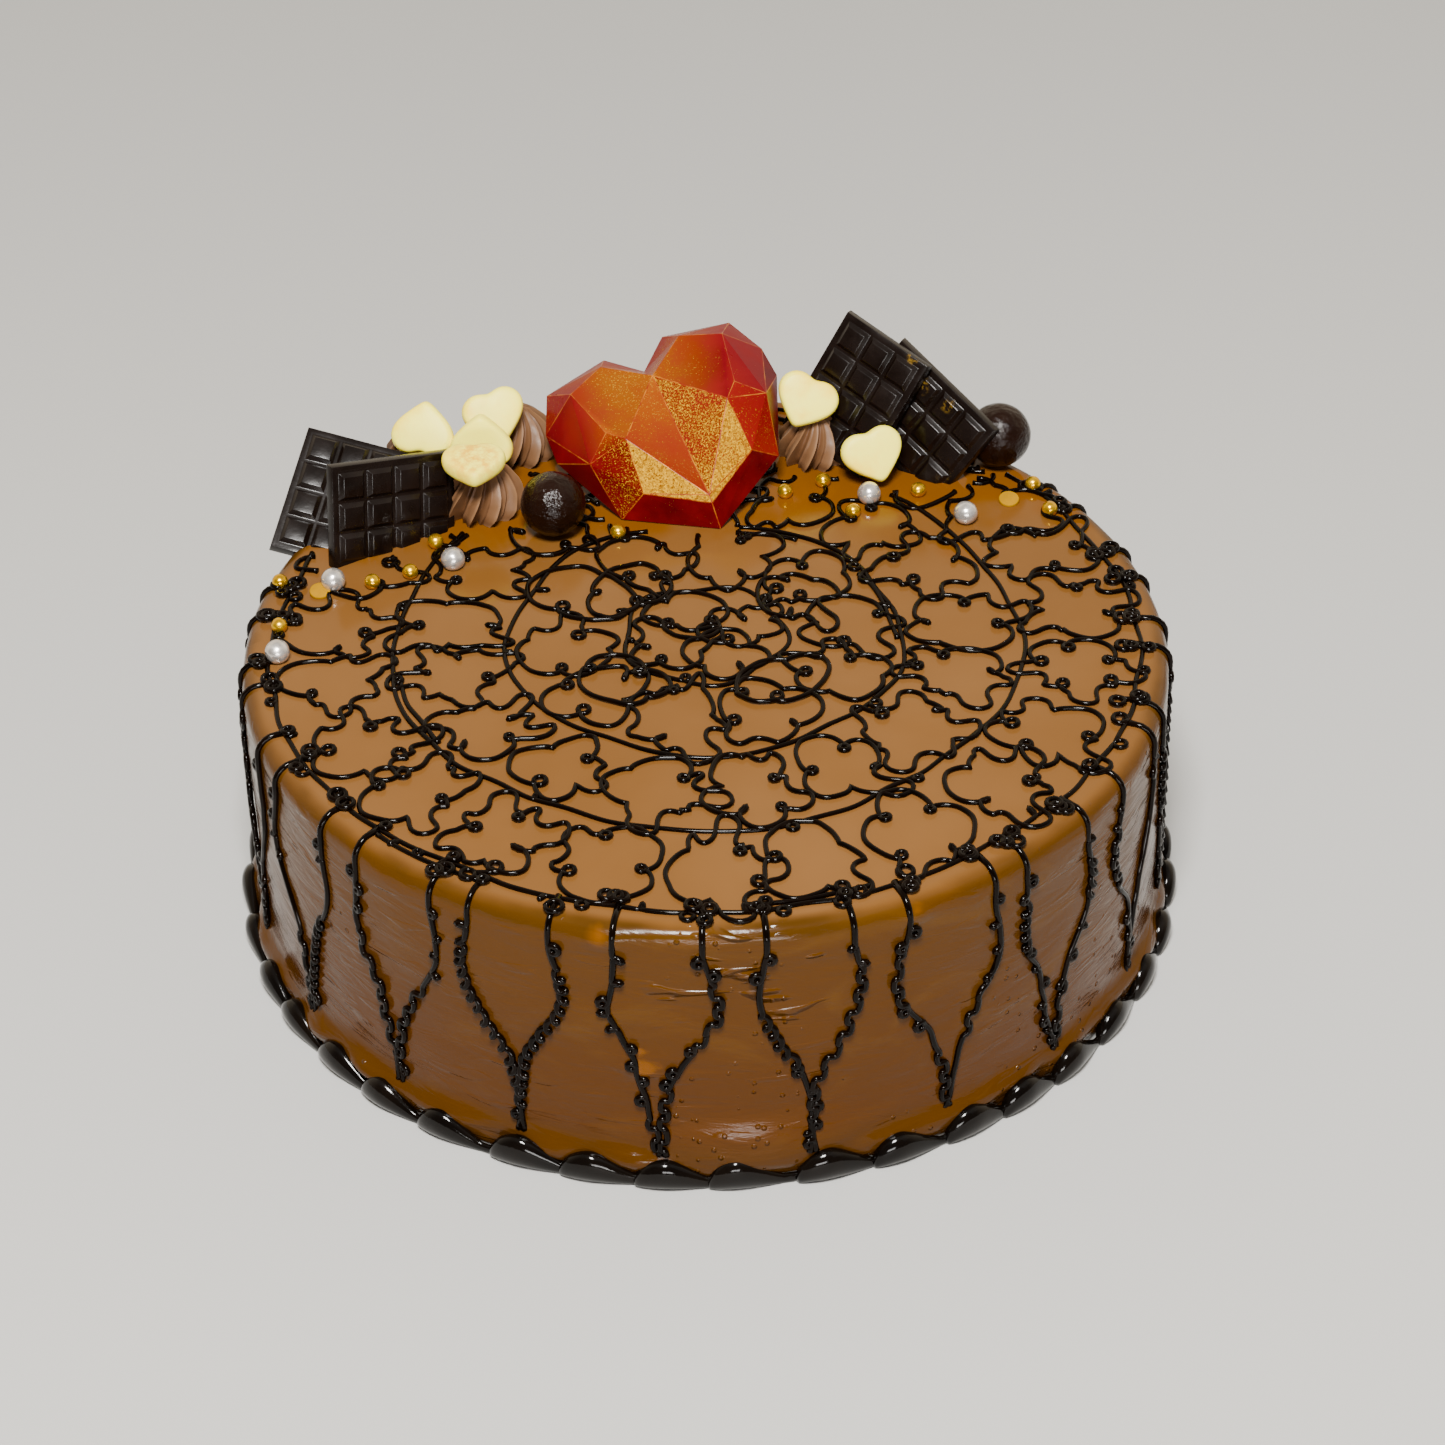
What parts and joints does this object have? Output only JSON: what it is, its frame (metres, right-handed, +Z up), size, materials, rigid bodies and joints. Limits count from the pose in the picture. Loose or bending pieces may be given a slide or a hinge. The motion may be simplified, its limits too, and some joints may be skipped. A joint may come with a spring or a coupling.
{
  "type": "decorated layer cake",
  "caption": "Round uncut cake under poured caramel with piped dark filigree, a shell border, a faceted heart, chocolate bars, small hearts, balls, rosettes and pearls.",
  "frame": {"origin": "centre of the base, on the surface that the cake stands on", "axes": "+Z up; -Y is the front that the big heart faces; +X to the right seen from the front"},
  "size_m": [0.2366, 0.2366, 0.1091],
  "materials": {
    "caramel": "glossy poured caramel glaze",
    "dark_glaze": "glossy near-black piped chocolate",
    "dark_chocolate": "satin dark chocolate",
    "ball_chocolate": "glossy dark chocolate",
    "red_gold": "red chocolate dusted with gold",
    "white_chocolate": "matt cream white chocolate",
    "buttercream": "matt chocolate buttercream"
  },
  "bodies": {
    "root": {"cake": "caramel", "border": "dark_glaze", "big_heart": "red_gold", "bar_left_front": "dark_chocolate", "bar_left_back": "dark_chocolate", "bar_right_front": "dark_chocolate", "bar_right_back": "dark_chocolate", "rosette_front": "buttercream", "rosette_left": "buttercream", "rosette_middle": "buttercream", "rosette_right": "buttercream", "rosette_support": "buttercream", "small_heart_1": "white_chocolate", "small_heart_2": "white_chocolate", "small_heart_3": "white_chocolate", "small_heart_4": "white_chocolate", "small_heart_5": "white_chocolate", "small_heart_6": "white_chocolate", "ball_left": "ball_chocolate", "ball_right": "ball_chocolate"}
  },
  "joints": []
}
